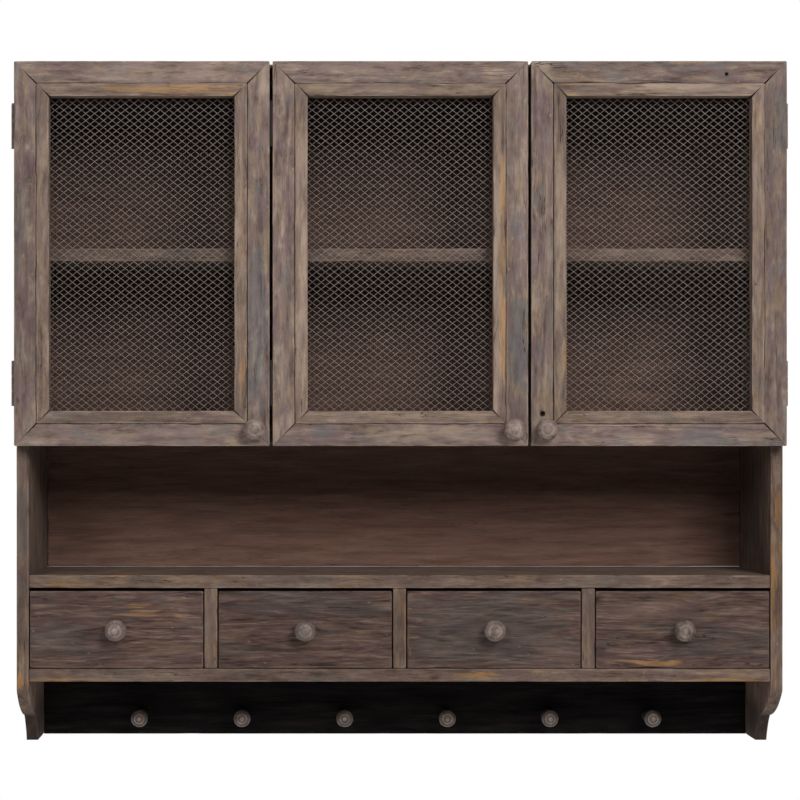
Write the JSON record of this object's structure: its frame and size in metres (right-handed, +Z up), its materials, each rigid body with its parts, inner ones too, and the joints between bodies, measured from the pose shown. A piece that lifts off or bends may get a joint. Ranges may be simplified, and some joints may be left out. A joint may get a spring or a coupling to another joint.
{
  "type": "kitchen wall cabinet",
  "caption": "Rustic wooden wall cabinet with framed wire-mesh doors, an open niche, a row of drawers and a rail of turned pegs.",
  "frame": {"origin": "on the wall plane, midway between the two hanging holes", "axes": "+X to the right as seen from the front, +Y into the wall, +Z up"},
  "size_m": [0.8706, 0.2262, 0.77],
  "materials": {
    "case_wood": "weathered, dry, matt",
    "back_wood": "stained reddish brown, matt",
    "dark_wood": "stained near black, matt",
    "turned_wood": "turned, grey brown, matt",
    "door_wood": "weathered grey brown with worn patches, matt",
    "bead_wood": "weathered with raw streaks, matt",
    "drawer_wood": "weathered dark brown, matt",
    "box_wood": "plain sawn wood",
    "mesh_wire": "dull aged wire",
    "hinge_iron": "dark aged iron",
    "nail_iron": "dull iron",
    "catch_metal": "dull steel"
  },
  "bodies": {
    "case": {"side_left": "case_wood", "side_right": "case_wood", "top_board": "case_wood", "cupboard_floor": "case_wood", "partition_left": "case_wood", "partition_right": "case_wood", "shelf_left": "case_wood", "shelf_middle": "case_wood", "shelf_right": "case_wood", "counter_shelf": "case_wood", "drawer_floor": "case_wood", "drawer_divider_left": "case_wood", "drawer_divider_middle": "case_wood", "drawer_divider_right": "case_wood", "back_panel": "back_wood", "hanging_rail": "back_wood", "peg_rail": "dark_wood", "pegs": "turned_wood", "shelf_pins": "turned_wood", "hinge_case_leaves": "hinge_iron", "hinge_pins": "hinge_iron", "hinge_case_screws": "hinge_iron", "case_nails": "nail_iron", "catch_magnets": "catch_metal"},
    "door_left": {"door_left_frame": "door_wood", "door_left_bead": "bead_wood", "door_left_mesh": "mesh_wire", "door_left_mesh_slips": "bead_wood", "door_left_knob": "turned_wood", "door_left_hinge_leaves": "hinge_iron", "door_left_hinge_screws": "hinge_iron", "door_left_striker": "catch_metal"},
    "door_middle": {"door_middle_frame": "door_wood", "door_middle_bead": "bead_wood", "door_middle_mesh": "mesh_wire", "door_middle_mesh_slips": "bead_wood", "door_middle_knob": "turned_wood", "door_middle_hinge_leaves": "hinge_iron", "door_middle_hinge_screws": "hinge_iron", "door_middle_striker": "catch_metal"},
    "door_right": {"door_right_frame": "door_wood", "door_right_bead": "bead_wood", "door_right_mesh": "mesh_wire", "door_right_mesh_slips": "bead_wood", "door_right_knob": "turned_wood", "door_right_hinge_leaves": "hinge_iron", "door_right_hinge_screws": "hinge_iron", "door_right_striker": "catch_metal"},
    "drawer_1": {"drawer_1_front": "drawer_wood", "drawer_1_box": "box_wood", "drawer_1_knob": "turned_wood"},
    "drawer_2": {"drawer_2_front": "drawer_wood", "drawer_2_box": "box_wood", "drawer_2_knob": "turned_wood"},
    "drawer_3": {"drawer_3_front": "drawer_wood", "drawer_3_box": "box_wood", "drawer_3_knob": "turned_wood"},
    "drawer_4": {"drawer_4_front": "drawer_wood", "drawer_4_box": "box_wood", "drawer_4_knob": "turned_wood"}
  },
  "joints": [
    {"name": "door_left_hinge", "type": "hinge", "parent": "case", "child": "door_left", "pos_m": [-0.4328, -0.1811, -0.17925], "axis": [0, 0, -1], "range_deg": [0, 170]},
    {"name": "door_middle_hinge", "type": "hinge", "parent": "case", "child": "door_middle", "pos_m": [-0.14383, -0.2013, -0.17925], "axis": [0, 0, -1], "range_deg": [0, 100]},
    {"name": "door_right_hinge", "type": "hinge", "parent": "case", "child": "door_right", "pos_m": [0.4328, -0.1811, -0.17925], "axis": [0, 0, 1], "range_deg": [0, 170]},
    {"name": "drawer_1_slide", "type": "slide", "parent": "case", "child": "drawer_1", "axis": [0, -1, 0], "range_m": [0, 0.12]},
    {"name": "drawer_2_slide", "type": "slide", "parent": "case", "child": "drawer_2", "axis": [0, -1, 0], "range_m": [0, 0.12]},
    {"name": "drawer_3_slide", "type": "slide", "parent": "case", "child": "drawer_3", "axis": [0, -1, 0], "range_m": [0, 0.12]},
    {"name": "drawer_4_slide", "type": "slide", "parent": "case", "child": "drawer_4", "axis": [0, -1, 0], "range_m": [0, 0.12]}
  ]
}
